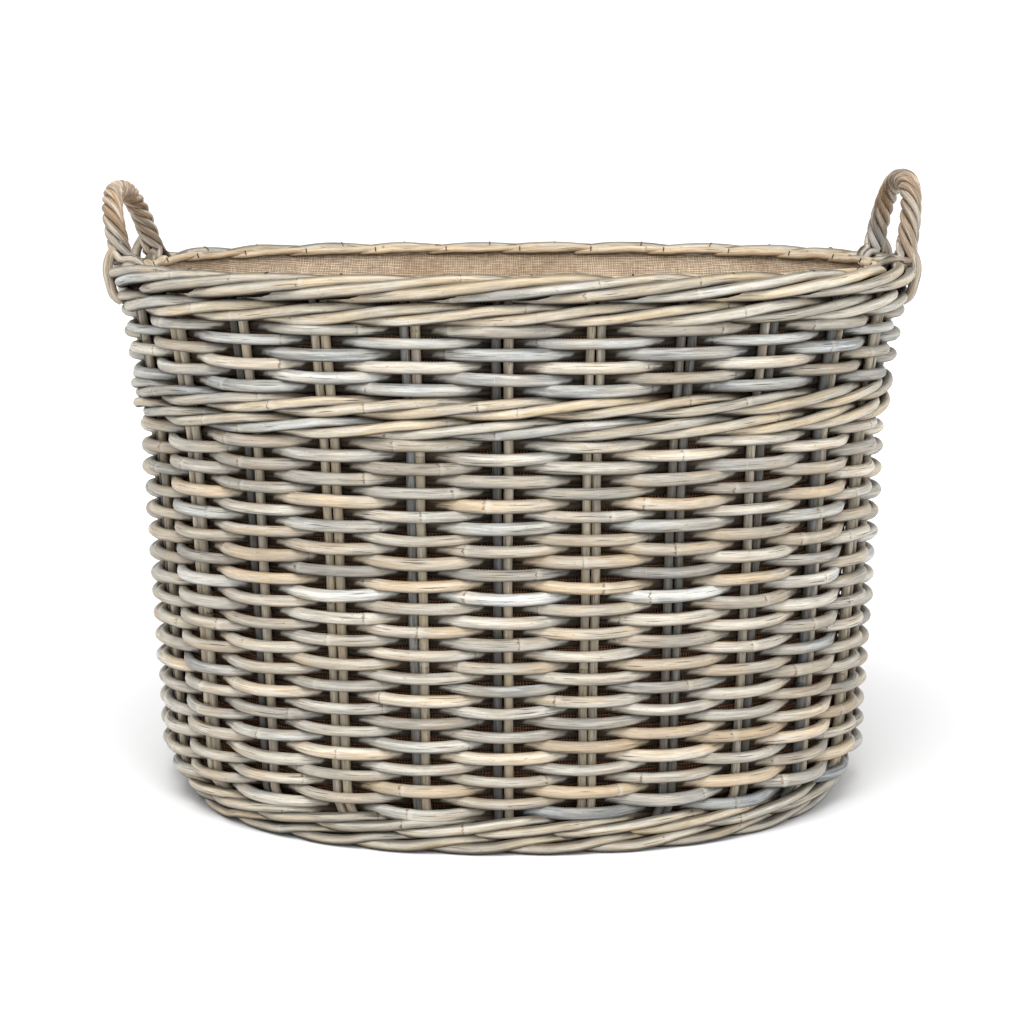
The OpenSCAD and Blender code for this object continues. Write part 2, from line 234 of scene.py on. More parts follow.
class Rods:
    """Collects rods and makes them one mesh, storing on its points what the rattan material reads.

    fibre is the place in the rod as if it were straight. tone is warm, light and wash, as in Tone. The
    third is how far out of sight the rod is, the distance to its nearest growth ring, and how much painted
    shade it has.
    """

    def __init__(self, sides=12):
        self.sides = sides
        self.points, self.faces, self.flat = [], [], []
        self.fibre, self.tone, self.grain_and_shade = [], [], []
        self.count = 0

    def add(self, centre, outward, depth, height, tone, inner=0.0, knot_gap=0.15, lumps=0.03,
            under=0.0, over=0.0, tucked=0.0, axis=None):
        """One rod along centre, depth thick each way along outward and height across it.

        inner is 1 where the rod is out of sight on the inside, and 0 where it is in sight.
        under and over are the painted shade on its lower and upper sides, where it lies against its
        neighbours.
        The painted shade closes in on the rod's outer face where tucked is nearer 1, as it goes in between
        them.
        A strand of a rope has the rope's axis instead, and has painted shade towards it.
        """
        n = len(centre)
        along = unit(np.gradient(centre, axis=0))
        side = unit(outward - (outward * along).sum(-1, keepdims=True) * along)
        up = np.cross(side, along)
        s = distance_along(centre)
        knot = self.knot_distance(s, knot_gap)
        size = 1 + lumps * wander(s, 0.09) + 0.05 * np.exp(-((knot / 0.003) ** 2))
        size = size * self.round_ends(s, float(np.mean(depth)))
        a = 2 * math.pi * np.arange(self.sides) / self.sides
        d = (np.broadcast_to(depth, n) * size)[:, None]
        h = (np.broadcast_to(height, n) * size)[:, None]
        ring = side[:, None] * (np.cos(a) * d)[..., None] + up[:, None] * (np.sin(a) * h)[..., None]
        self.points.append((centre[:, None] + ring).reshape(-1, 3))
        shift = rng.uniform(0, 50, 3)
        around = np.stack(
            [np.broadcast_to(s[:, None], (n, self.sides)), np.cos(a) * d, np.sin(a) * h], -1)
        self.fibre.append(around.reshape(-1, 3) + shift)
        warm = np.clip(tone.warm + tone.change * wander(s, 0.22), -1, 1)
        light = tone.light * (1 + 0.06 * wander(s, 0.13))
        wash = np.clip(tone.wash + 1.3 * tone.change * wander(s, 0.17), 0, 1)
        self.tone.append(np.repeat(np.stack([warm, light, wash], -1), self.sides, axis=0))
        # Painted shade: darker sides where the rod lies against its neighbours, or towards the axis of a
        # rope.
        if axis is None:
            closing = np.broadcast_to(tucked, n)[:, None]
            below = ease((-np.sin(a) - 0.45 + 1.1 * closing) / 0.5)
            above = ease((np.sin(a) - 0.7 + 1.3 * closing) / 0.35)
            full_below = under + (FULL_PAINTED_SHADE - under) * closing
            full_above = over + (FULL_PAINTED_SHADE - over) * closing
            painted_crevice_shade = np.minimum(full_below * below + full_above * above, 1)
        else:
            away = np.linalg.norm(centre[:, None] + ring - axis[:, None], axis=-1)
            rope = np.linalg.norm(centre - axis, axis=-1)[:, None]
            painted_crevice_shade = ease((rope + 0.0022 - away) / 0.0020)
        stored = np.empty((n, self.sides, 3))
        stored[..., 0] = np.broadcast_to(inner, n)[:, None]
        stored[..., 1] = knot[:, None]
        stored[..., 2] = painted_crevice_shade
        self.grain_and_shade.append(stored.reshape(-1, 3))
        self.add_faces(n)

    def add_faces(self, n):
        i = np.arange(n - 1)[:, None] * self.sides
        k = np.arange(self.sides)[None, :]
        k_next = (k + 1) % self.sides
        start = self.count
        quads = np.stack([start + i + k, start + i + self.sides + k,
                          start + i + self.sides + k_next, start + i + k_next], -1)
        self.faces.extend(quads.reshape(-1, 4).tolist())
        self.flat.extend([False] * (n - 1) * self.sides)
        last = start + (n - 1) * self.sides
        self.faces.append([start + j for j in range(self.sides)])
        self.faces.append([last + j for j in reversed(range(self.sides))])
        self.flat.extend([True, True])
        self.count += n * self.sides

    @staticmethod
    def round_ends(s, radius):
        """Draws a rod in a little over its last few millimetres, as a cut end is."""
        edge = np.minimum(s, s[-1] - s)
        return np.clip(0.72 + 0.28 * np.sqrt(np.clip(edge / (0.35 * radius), 0, 1)), 0, 1)

    @staticmethod
    def knot_distance(s, gap):
        """Distance along the rod to the nearest growth ring."""
        knots = np.arange(rng.uniform(0, gap), s[-1] + gap, gap)
        knots = knots + rng.uniform(-0.3, 0.3, len(knots)) * gap
        away = s[:, None] - knots[None, :]
        nearest = np.abs(away).argmin(1)
        return np.clip(away[np.arange(len(s)), nearest], -0.02, 0.02)

    def make(self, name, material, slot, *nodes):
        """All the rods as one piece, with their values stored on the points."""
        mesh = bpy.data.meshes.new(name)
        mesh.from_pydata(np.concatenate(self.points).tolist(), [], self.faces)
        mesh.polygons.foreach_set("use_smooth", [not f for f in self.flat])
        for label, data in (("fibre", self.fibre), ("tone", self.tone), ("grain_and_shade", self.grain_and_shade)):
            layer = mesh.attributes.new(label, "FLOAT_VECTOR", "POINT")
            layer.data.foreach_set("vector", np.concatenate(data).astype(np.float32).ravel())
        return place(name, mesh, material, slot, *nodes)


def place(name, mesh, material, slot, *nodes):
    """Puts a finished mesh in the scene, riding on the basket and standing for CAD nodes."""
    mesh.materials.append(material)
    mesh.update()
    piece = bpy.data.objects.new(name, mesh)
    bpy.context.scene.collection.objects.link(piece)
    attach(piece, ROOT)
    if nodes:
        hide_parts(*nodes)
    return piece


# ---------------------------------------------------------------- materials
def linear(r, g, b):
    """A colour given as 0-255 screen values, as the linear values that shaders take."""
    return tuple((v / 255 / 12.92 if v / 255 <= 0.04045 else ((v / 255 + 0.055) / 1.055) ** 2.4)
                 for v in (r, g, b)) + (1.0,)


class Shader:
    """A short way to write a material's nodes."""

    def __init__(self, name, roughness, specular=0.35):
        self.material = bpy.data.materials.new(name)
        self.material.use_nodes = True
        self.tree = self.material.node_tree
        self.surface = self.tree.nodes["Principled BSDF"]
        self.surface.inputs["Roughness"].default_value = roughness
        self.surface.inputs["Specular IOR Level"].default_value = specular

    def set(self, socket, value):
        if isinstance(value, bpy.types.NodeSocket):
            self.tree.links.new(value, socket)
        elif socket.type == "VECTOR" and len(value) == 4:
            socket.default_value = value[:3]
        else:
            socket.default_value = value

    def node(self, kind, **settings):
        node = self.tree.nodes.new(kind)
        for key, value in settings.items():
            setattr(node, key, value)
        return node

    def stored(self, label):
        return self.node("ShaderNodeAttribute", attribute_name=label).outputs["Vector"]

    def split(self, vector):
        node = self.node("ShaderNodeSeparateXYZ")
        self.set(node.inputs[0], vector)
        return node.outputs

    def scaled(self, vector, factors):
        node = self.node("ShaderNodeVectorMath", operation="MULTIPLY")
        self.set(node.inputs[0], vector)
        self.set(node.inputs[1], factors)
        return node.outputs[0]

    def maths(self, operation, a, b=0.0, clamp=False):
        node = self.node("ShaderNodeMath", operation=operation, use_clamp=clamp)
        self.set(node.inputs[0], a)
        self.set(node.inputs[1], b)
        return node.outputs[0]

    def noise(self, vector, detail, rough=0.55):
        node = self.node("ShaderNodeTexNoise")
        self.set(node.inputs["Vector"], vector)
        self.set(node.inputs["Scale"], 1.0)
        self.set(node.inputs["Detail"], detail)
        self.set(node.inputs["Roughness"], rough)
        return node.outputs[0]

    def remap(self, value, low, high, to_low=0.0, to_high=1.0):
        node = self.node("ShaderNodeMapRange", interpolation_type="SMOOTHSTEP")
        self.set(node.inputs["Value"], value)
        ends = {"From Min": low, "From Max": high, "To Min": to_low, "To Max": to_high}
        for label, number in ends.items():
            self.set(node.inputs[label], number)
        return node.outputs[0]

    def mix(self, factor, a, b):
        node = self.node("ShaderNodeMix", data_type="RGBA")
        self.set(node.inputs["Factor"], factor)
        self.set(node.inputs[6], a)
        self.set(node.inputs[7], b)
        return node.outputs[2]

    def tint(self, colour, factor):
        """The colour times a number."""
        node = self.node("ShaderNodeVectorMath", operation="SCALE")
        self.set(node.inputs[0], colour)
        self.set(node.inputs["Scale"], factor)
        return node.outputs[0]

    def bump(self, height, distance, strength):
        node = self.node("ShaderNodeBump")
        self.set(node.inputs["Height"], height)
        self.set(node.inputs["Distance"], distance)
        self.set(node.inputs["Strength"], strength)
        self.set(self.surface.inputs["Normal"], node.outputs[0])


BARE = linear(104, 76, 50)
# DARK is the colour of the cracks, and of the painted shade where rods are out of sight or in their
# crevices.
DARK = linear(20, 11, 6)
WASHED = linear(188, 184, 173)
COOL = linear(118, 123, 126)
COOL_WASHED = linear(190, 197, 202)


def rattan(name, grey, tan, washed):
    """Unsplit rattan: lengthwise fibres and cracks, growth rings, flecks, a rubbed whitewash and painted
    shade.
    """
    m = Shader(name, 0.46)
    fibre, tone, grain_and_shade = m.stored("fibre"), m.split(m.stored("tone")), m.split(m.stored("grain_and_shade"))
    warm, light, wash = tone[0], tone[1], tone[2]
    inner, knot, painted_crevice_shade = grain_and_shade[0], grain_and_shade[1], grain_and_shade[2]
    mottle = m.noise(m.scaled(fibre, (24, 90, 90)), 2)
    streaks = m.noise(m.scaled(fibre, (30, 620, 620)), 4, 0.7)
    fine = m.noise(m.scaled(fibre, (90, 2100, 2100)), 2)
    flecks = m.noise(m.scaled(fibre, (260, 800, 800)), 2)
    cracks = m.noise(m.scaled(fibre, (30, 1100, 1100)), 1)
    film = m.noise(m.scaled(fibre, (16, 260, 260)), 5, 0.66)
    scar = m.noise(m.scaled(fibre, (170, 420, 420)), 2)
    warmth = m.maths("ADD", warm, m.remap(mottle, 0.3, 0.7, -0.3, 0.3))
    colour = m.mix(m.maths("MAXIMUM", warmth, 0.0, clamp=True), grey, tan)
    coolness = m.maths("MULTIPLY", warmth, -1.0, clamp=True)
    colour = m.mix(coolness, colour, COOL)
    cover = m.maths("ADD", m.remap(film, 0.42, 0.6, -0.55, 0.55), wash, clamp=True)
    colour = m.mix(m.maths("MULTIPLY", cover, 0.8), colour, m.mix(coolness, washed, COOL_WASHED))
    colour = m.tint(colour, m.remap(streaks, 0.25, 0.75, 0.74, 1.2))
    colour = m.tint(colour, m.remap(fine, 0.3, 0.7, 0.87, 1.12))
    colour = m.mix(m.remap(flecks, 0.66, 0.74, 0.0, 0.6), colour, BARE)
    colour = m.mix(m.remap(cracks, 0.68, 0.74, 0.0, 0.8), colour, DARK)
    edge = m.maths("ABSOLUTE", m.maths("ADD", knot, m.remap(scar, 0.2, 0.8, -0.0022, 0.0022)))
    ring = m.maths("MULTIPLY", m.remap(edge, 0.0002, 0.0010, 0.8, 0.0), m.remap(scar, 0.4, 0.6))
    colour = m.mix(ring, colour, BARE)
    pale = m.maths("MULTIPLY", m.remap(edge, 0.0008, 0.005, 0.45, 0.0), m.remap(knot, -0.0001, 0.0001))
    colour = m.mix(pale, colour, washed)
    # Where a rod goes out of sight inside it turns a darker brown, partly bare rattan that the wash missed
    # and partly painted shade.
    colour = m.mix(m.remap(inner, 0.1, 0.5, 0.0, 0.5), colour, m.tint(tan, 0.7))
    # Painted shade: nearly black where a rod is out of sight and in its crevices, with its sheen taken away
    # there.
    shade = m.remap(inner, 0.3, 0.9, 0.0, 0.98)
    painted_shade = m.maths("MAXIMUM", shade, m.maths("MULTIPLY", painted_crevice_shade, m.remap(film, 0.3, 0.7, 0.86, 1.0)))
    colour = m.mix(painted_shade, colour, DARK)
    m.set(m.surface.inputs["Specular IOR Level"], m.remap(painted_shade, 0.1, 0.9, 0.36, 0.0))
    m.set(m.surface.inputs["Base Color"], m.tint(colour, light))
    ridge = m.maths("ADD", m.maths("MULTIPLY", streaks, 0.7), m.maths("MULTIPLY", fine, 0.3))
    ridge = m.maths("SUBTRACT", ridge, m.remap(cracks, 0.66, 0.74, 0.0, 0.8))
    ridge = m.maths("SUBTRACT", ridge, m.maths("MULTIPLY", ring, 0.6))
    m.bump(ridge, 0.0006, 0.9)
    m.set(m.surface.inputs["Roughness"], m.remap(film, 0.3, 0.7, 0.38, 0.62))
    return m.material


rattan_rows = rattan("rattan_rows", linear(153, 147, 136), linear(180, 160, 132), WASHED)
rattan_stakes = rattan("rattan_stakes", linear(128, 122, 112), linear(182, 164, 134), linear(192, 184, 166))
rattan_border = rattan("rattan_border", linear(160, 154, 142), linear(186, 168, 138), WASHED)
rattan_band = rattan("rattan_band", linear(178, 160, 134), linear(190, 166, 133), linear(198, 184, 160))
rattan_handle = rattan("rattan_handle", linear(128, 116, 101), linear(138, 109, 80), linear(188, 178, 162))
rattan_floor = rattan("rattan_floor", linear(140, 122, 98), linear(160, 132, 96), linear(170, 156, 132))


def hessian_material(name, pale, deep, gap, thread):
    """Coarse plain-weave jute: crossing threads of uneven thickness with dark gaps between them.

    thread is the distance from one thread to the next.
    """
    m = Shader(name, 0.9, 0.1)
    cloth = m.stored("cloth")
    wobble = m.noise(m.scaled(cloth, (60, 60, 60)), 2)
    across, along, _ = m.split(cloth)
    waves = []
    for distance, drift in ((across, 4.5), (along, 3.5)):
        phase = m.maths("MULTIPLY", distance, math.pi / thread)
        phase = m.maths("ADD", phase, m.maths("MULTIPLY", wobble, drift))
        waves.append(m.maths("SINE", phase))
    warp, weft = (m.maths("ABSOLUTE", wave) for wave in waves)
    over = m.maths("MULTIPLY", *waves)
    cover = m.maths("MAXIMUM", warp, weft)
    height = m.maths("ADD", cover, m.maths("MULTIPLY", over, 0.35))
    slub = m.noise(m.scaled(cloth, (90, 1100, 1)), 2)
    slub_up = m.noise(m.scaled(cloth, (1100, 90, 1)), 2)
    patch = m.noise(m.scaled(cloth, (14, 14, 1)), 3)
    colour = m.mix(m.remap(patch, 0.3, 0.7, 0.15, 0.95), deep, pale)
    colour = m.tint(colour, m.remap(slub, 0.28, 0.72, 0.68, 1.3))
    colour = m.tint(colour, m.remap(slub_up, 0.28, 0.72, 0.76, 1.22))
    colour = m.mix(m.remap(cover, 0.62, 0.94, 0.95, 0.0), colour, gap)
    m.set(m.surface.inputs["Base Color"], colour)
    m.bump(height, 0.0004, 0.8)
    return m.material


hessian = hessian_material("hessian", linear(214, 196, 172), linear(188, 166, 140), linear(106, 82, 60),
                           thread=0.0015)
# The side of the lining towards the wicker, seen only through gaps in the weave: a darker copy of the
# hessian, painted shade, with almost black gaps between its threads.
hessian_painted_shade = hessian_material("hessian_painted_shade", linear(150, 110, 82), linear(112, 76, 52),
                                   linear(5, 3, 2), thread=0.0023)


def plain(name, colour, roughness):
    """An even finish with a little mottling."""
    m = Shader(name, roughness)
    position = m.node("ShaderNodeTexCoord").outputs["Object"]
    mottle = m.noise(m.scaled(position, (400, 400, 400)), 2)
    m.set(m.surface.inputs["Base Color"], m.tint(colour, m.remap(mottle, 0.3, 0.7, 0.8, 1.2)))
    return m.material


nail_iron = plain("nail_iron", linear(52, 42, 36), 0.6)


# ---------------------------------------------------------------- weaving rows
ROW_STEEPNESS = 1.75  # how sharply a weaving rod crosses from the outside to the inside
RODS_IN_ROW = 3
MIN_PAIRS = 3  # fewest stake pairs that one rod of a row goes outside of
ROW_END = 0.22  # how far each end of a rod overlaps the next one, in stake spacings


def row_out(step):
    """How far out a weaving rod is, 1 outside a stake pair and -1 inside one, at step stake spacings."""
    zigzag = 1 - 2 * np.abs((step + 1) % 2 - 1)
    return np.tanh(ROW_STEEPNESS * zigzag) / math.tanh(ROW_STEEPNESS)


def make_row(node, parity, warmth):
    """One weaving row: three rods end to end, their ends tucked inside behind stakes.

    parity is 0 where the row goes outside the even stake pairs, and 1 where it goes outside the odd ones.
    """
    rods = Rods()
    spare = PAIRS // 2 - RODS_IN_ROW * MIN_PAIRS
    lengths = rng.multinomial(spare, [1 / RODS_IN_ROW] * RODS_IN_ROW) + MIN_PAIRS
    start = 2 * int(rng.integers(0, PAIRS // 2)) + 1 - parity
    swing = 1 + 0.05 * rng.standard_normal(PAIRS)
    lift = 0.0007 * rng.standard_normal(PAIRS)
    pair_numbers = np.arange(-PAIRS, 4 * PAIRS)
    for count in lengths:
        step = np.linspace(start - ROW_END, start + 2 * count + ROW_END, int(2 * count * 15) + 8)
        reach = np.interp(step, pair_numbers, np.tile(swing, 5))
        rise = np.interp(step, pair_numbers, np.tile(lift, 5))
        side = row_out(step + parity)
        out = ROW_OUT * side * np.where(side > 0, reach, 1.0)
        z = mid_z(node) + rise + 0.0004 * wander(step, 5.0)
        centre, outward = wall(stake_turn(step), z, out)
        radius = ROD_R * float(np.clip(rng.normal(1.0, 0.06), 0.88, 1.1))
        inner = further_in(out, -0.0052, 0.0028)
        tucked = further_in(out, -0.0014, 0.0066)
        tone = random_tone(warmth, 1.0, 0.42, 0.36, 0.12)
        rods.add(centre, outward, radius, radius, tone, inner, under=0.74, over=0.28, tucked=tucked)
        start += 2 * count
    return rods.make("rods_" + node, rattan_rows, "rattan_grey", node)


for i in range(1, LOWER_ROWS + 1):
    make_row(f"weaving_row_{i:02d}", i % 2, warmth=0.34)
for i in range(1, UPPER_ROWS + 1):
    make_row(f"upper_row_{i}", i % 2, warmth=-0.05)


# ---------------------------------------------------------------- stakes
DARK_STAKES = 0.25  # share of the stakes that are dark


def make_stakes(node, side):
    """The left-hand stakes of all the pairs where side is -1, and the right-hand ones where it is 1."""
    low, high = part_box(node)
    rods = Rods()
    z = np.linspace(low.z, high.z, 80)
    for j in range(PAIRS):
        sway = side * PAIR_HALF + 0.0006 * wander(z, 0.25) + 0.0003 * rng.standard_normal()
        turn = stake_turn(j) + sway / PERIMETER
        centre, outward = wall(turn, z, 0.0003 * wander(z, 0.3))
        radius = STAKE_R * float(rng.uniform(0.94, 1.04))
        dark = rng.random() < DARK_STAKES
        tone = random_tone(-0.2, 0.42, 0.0, 0.15) if dark else random_tone(0.5, 0.98, 0.3, 0.15)
        rods.add(centre, outward, radius, radius, tone, 0.12, knot_gap=0.16)
    return rods.make("rods_" + node, rattan_stakes, "rattan_stake", node)


make_stakes("left_stakes", -1)
make_stakes("right_stakes", 1)


# ---------------------------------------------------------------- wales and borders
def make_strokes(keys, radius, tone, shift=0.0, seen_from=0.001, crest_warmth=0.0, crowded=0.1):
    """A ring of slanted strokes, one starting at each stake pair.

    keys are (step, out, z) along one stroke, where step counts stake spacings. A stroke is in sight where
    it is further out than seen_from. crowded is how far the painted shade closes in on it there, 0 to 1.
    crest_warmth is how much warmer its colour is past its first stake spacing.
    """
    rods = Rods()
    first, last = keys[0][0], keys[-1][0]
    step = np.linspace(first, last, int((last - first) * 14))
    out_base, z_base = smooth_keys(keys, step)
    for j in range(PAIRS):
        out = out_base * (1 + 0.03 * rng.standard_normal()) + 0.0004 * wander(step, 2.0)
        z = z_base + 0.0005 * wander(step, 2.5)
        size = radius * float(np.clip(rng.normal(1.0, 0.05), 0.9, 1.1))
        above_floor = np.maximum(z, 1.1 * size)
        centre, outward = wall(stake_turn(j + shift + step), above_floor, out)
        inner = further_in(out, seen_from, 0.007)
        shade = random_tone(*tone)
        shade.warm = shade.warm + crest_warmth * ease(step - 0.6)
        tucked = crowded + (1 - crowded) * further_in(out, seen_from + 0.0055, 0.012)
        rods.add(centre, outward, size, size, shade, inner, under=0.94, over=0.68, tucked=tucked)
    return rods


def finish_strokes(rods, node):
    """The collected strokes as the piece that stands for one wale or border."""
    return rods.make("rods_" + node, rattan_border, "rattan_border", node)


def wale_keys(z_mid, rise):
    """Outside two stake pairs, climbing, then inside the third."""
    return [
        (-1.15, -0.0080, z_mid - 0.3 * rise),
        (-0.55, 0.0000, z_mid - 1.2 * rise),
        (0.0, 0.0080, z_mid - 1.0 * rise),
        (0.5, 0.0098, z_mid),
        (1.0, 0.0080, z_mid + 1.0 * rise),
        (1.55, 0.0000, z_mid + 1.15 * rise),
        (2.15, -0.0080, z_mid + 0.3 * rise),
    ]


STROKE_TONE = (0.4, 1.0, 0.4, 0.3)
for wale_node, rise, wale_r in (
        ("mid_wale_lower", 0.0038, MID_WALE_R),
        ("mid_wale_upper", 0.0038, MID_WALE_R),
        ("top_wale", 0.0041, WALE_R)):
    wale_rods = make_strokes(wale_keys(mid_z(wale_node), rise), wale_r, STROKE_TONE, crowded=0.0)
    finish_strokes(wale_rods, wale_node)
foot_wale_keys = wale_keys(mid_z("foot_wale") + 0.0008, 0.0036)
foot_wale_rods = make_strokes(foot_wale_keys, MID_WALE_R, (0.45, 0.98, 0.3), crowded=0.16)
finish_strokes(foot_wale_rods, "foot_wale")

# The foot border's strokes come out from under the wall, run low round the outside and tuck in again.
foot_low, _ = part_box("foot_border")
foot_keys = [
    (-1.0, -0.0055, foot_low.z + 0.0048),
    (-0.5, 0.0010, foot_low.z + 0.0046),
    (0.0, 0.0080, foot_low.z + 0.0043),
    (0.5, 0.0092, foot_low.z + 0.0054),
    (1.0, 0.0080, foot_low.z + 0.0104),
    (1.5, 0.0010, foot_low.z + 0.0108),
    (2.0, -0.0055, foot_low.z + 0.0080),
]
# The foot border is a little darker than the other bands, and its crevice shade closes in more: painted
# shade low down by the floor.
foot_rods = make_strokes(foot_keys, FOOT_R, (0.4, 0.9, 0.25), shift=0.35, crowded=0.26)
finish_strokes(foot_rods, "foot_border")

# The top border's strokes climb the outside, cross the crest and tuck down behind the inner band.
_, rim_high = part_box("top_border")
crest = rim_high.z
CREST_KEY = (1.45, 0.0036, crest - 0.0034)  # where a stroke crosses the crest, and its nail is
rim_keys = [
    (-0.95, -0.0050, crest - 0.0170),
    (-0.50, 0.0040, crest - 0.0160),
    (0.00, 0.0120, crest - 0.0133),
    (0.50, 0.0128, crest - 0.0092),
    (1.00, 0.0094, crest - 0.0056),
    CREST_KEY,
    (1.90, -0.0030, crest - 0.0042),
    (2.35, -0.0076, crest - 0.0092),
    (2.60, -0.0084, crest - 0.0150),
]
rim_rods = make_strokes(rim_keys, RIM_R, (0.2, 1.02, 0.45, 0.3), seen_from=-0.008, crest_warmth=0.6)
CORE_R = 0.0050  # the two hoops that the rim's strokes are laid round
# Painted shade darkens both hoops, which are out of sight: the outer one almost to black, the inner one
# partly.
for core_out, core_z, hidden in ((0.0035, crest - 0.0125, 1.0), (-0.0030, crest - 0.0120, 0.5)):
    core, core_outward = wall(np.linspace(0, 1, 420), core_z, core_out)
    rim_rods.add(core, core_outward, CORE_R, CORE_R, Tone(0.6, 0.7, 0.0), hidden)
finish_strokes(rim_rods, "top_border")


BAND_HALF_DEPTH = 0.0036
BAND_HALF_HEIGHT = 0.0031


def make_inner_band():
    """Flat tan rods laid round the inside of the rim, each lapping over the next."""
    rods = Rods(sides=14)
    middle = mid_z("inner_band")
    keys = [(-0.25, -0.0130, middle + 0.0046), (0.15, -0.0165, middle + 0.0042),
            (0.9, -0.0169, middle + 0.0026), (1.25, -0.0150, middle + 0.0020)]
    step = np.linspace(-0.25, 1.25, 26)
    out_base, z_base = smooth_keys(keys, step)
    for j in range(PAIRS):
        centre, outward = wall(stake_turn(j + step), z_base + 0.0006 * wander(step, 1.2), out_base)
        tone = random_tone(0.6, 1.0, 0.25, 0.2)
        half_height = BAND_HALF_HEIGHT * float(rng.uniform(0.88, 1.1))
        rods.add(centre, outward, BAND_HALF_DEPTH, half_height, tone, 0.0, under=0.85, over=0.3)
    return rods.make("rods_inner_band", rattan_band, "rattan_tan", "inner_band")


make_inner_band()


NAIL_R = 0.0005
BENT_NAIL_R = 0.0004
NAIL_ENDS_OUT = (-0.0206, -0.0196)  # the lower and upper ends of a brad, from the line of the stakes
NAIL_ENDS_Z = (0.0042, 0.0082)  # and their heights, from the lowest point of the nails in the frame


def make_nails():
    """Thin brads: one at each lap of the inner band, and one bent over each stroke at the crest."""
    nail_low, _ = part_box("border_nails")
    rods = Rods(sides=8)
    bend = np.radians(np.linspace(50, 165, 9))
    reach = RIM_R + 0.0002
    z = np.linspace(nail_low.z + NAIL_ENDS_Z[0], nail_low.z + NAIL_ENDS_Z[1], 6)
    out = np.linspace(*NAIL_ENDS_OUT, 6)
    crest_step, crest_out, crest_z = CREST_KEY
    z_bent = crest_z + reach * np.sin(bend)
    out_bent = crest_out + reach * np.cos(bend)
    for j in range(PAIRS):
        turn = stake_turn(j + 1.0) + 0.0012 * rng.standard_normal() / PERIMETER
        centre, outward = wall(np.full(6, turn), z, out)
        rods.add(centre, outward, NAIL_R, NAIL_R, Tone(0, 1, 0), 0.0, lumps=0)
        turn = stake_turn(j + crest_step + 0.1 * rng.standard_normal())
        centre, outward = wall(np.full(9, turn), z_bent, out_bent)
        sideways = np.cross(outward, [0, 0, 1.0])
        rods.add(centre, sideways, BENT_NAIL_R, BENT_NAIL_R, Tone(0, 1, 0), 0.0, lumps=0)
    return rods.make("nails_in_band", nail_iron, "nail_iron", "border_nails")


make_nails()


# ---------------------------------------------------------------- handles
LEAN = math.radians(12)  # mean outward lean of the handles
LEAN_DIFFERENCE = math.radians(3)  # how much more the left one leans, and how much less the right one
YAW = math.radians(2.5)  # how far the back leg of each handle stands in from the front leg
ARCH_POWER = 2.5  # squareness of each arch
ROPE_R = 0.0053  # radius that the strand centres follow inside the rope
STRAND_R = 0.0031
LASHING_R = 0.0040
CAD_ROPE_R = 0.0095  # outer radius of the rope in the frame
LAY_PITCH = 0.056  # length of rope in which a strand goes once round it
RING_GAP = 0.0022  # distance between the points along the rope
STRANDS = 5
FOOT_Y = 0.062  # distance of each foot of a handle from the basket's middle line


def make_handle(side, rope_node, lashing_node):
    """Five strands twisted into a leaning arch.

    At each foot they spread and tuck in behind the rim's strokes.
    """
    low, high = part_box(rope_node)
    plane_x = (low.x + high.x) / 2
    pivot_z = mid_z(rope_node)
    arch_r = (high.y - low.y) / 2 - CAD_ROPE_R
    arch_z = crest - 0.006
    arch_h = pivot_z + (high.z - pivot_z) / math.cos(LEAN) - arch_z - CAD_ROPE_R
    lean = LEAN - side * LEAN_DIFFERENCE
    up = np.array([side * math.sin(lean), 0, math.cos(lean)])
    apart = np.array([-side * math.sin(YAW), math.cos(YAW), 0])
    across_one = np.cross(apart, up)
    middle = np.array([plane_x, 0, pivot_z]) + up * (arch_z - pivot_z)
    start = math.asin(signed_power((low.z + 0.004 - arch_z) / arch_h, ARCH_POWER / 2))
    angle = np.linspace(math.pi - start, start, 360)
    sideways = signed_power(np.cos(angle), 2 / ARCH_POWER)[:, None] * apart * arch_r
    upwards = signed_power(np.sin(angle), 2 / ARCH_POWER)[:, None] * up * arch_h
    arch = even_line(middle + sideways + upwards, RING_GAP)
    across = np.tile(unit(across_one), (len(arch), 1))
    radial = unit(np.cross(across, np.gradient(arch, axis=0)))
    turns = len(arch) * RING_GAP / LAY_PITCH
    share = np.linspace(0, 1, len(arch))
    slack = 1 + 0.12 * (2 * np.abs(share - 0.5)) ** 4
    rods = Rods(sides=14)
    for s in range(STRANDS):
        lay = 2 * math.pi * (s / STRANDS - turns * share) + 0.4 * side
        sweep = np.cos(lay)[:, None] * radial + np.sin(lay)[:, None] * across
        rope = arch + (ROPE_R * slack)[:, None] * sweep
        front = strand_foot(rope[::-1], side, -1)
        back = strand_foot(rope, side, 1)
        centre = even_line(np.concatenate([front[::-1], rope, back]), 0.003)
        axis = np.stack([nearest_on(arch, p) for p in centre])
        height = ease((centre[:, 2] - crest) / (arch_h * 0.8))
        warm = rng.normal(-0.1 * side, 0.2) + 0.75 * height
        light = rng.normal(1.0 - 0.05 * side, 0.09) - 0.04 * height
        wash = np.clip(rng.normal(0.6, 0.2) - 0.35 * height, 0, 1)
        tone = Tone(warm, light, wash)
        rods.add(centre, unit(centre - middle), STRAND_R, STRAND_R, tone, 0.0, knot_gap=0.13, axis=axis)
    rods.make("strands_" + rope_node, rattan_handle, "rattan_handle", rope_node)
    make_lashing(side, lashing_node)


def nearest_on(line, point):
    """The nearest point of a line of points."""
    return line[np.linalg.norm(line - point, axis=1).argmin()]


def even_line(points, gap):
    """The same line with points an even distance apart."""
    s = distance_along(points)
    at = np.linspace(0, s[-1], max(8, int(s[-1] / gap)))
    return np.stack([np.interp(at, s, points[:, k]) for k in range(3)], -1)


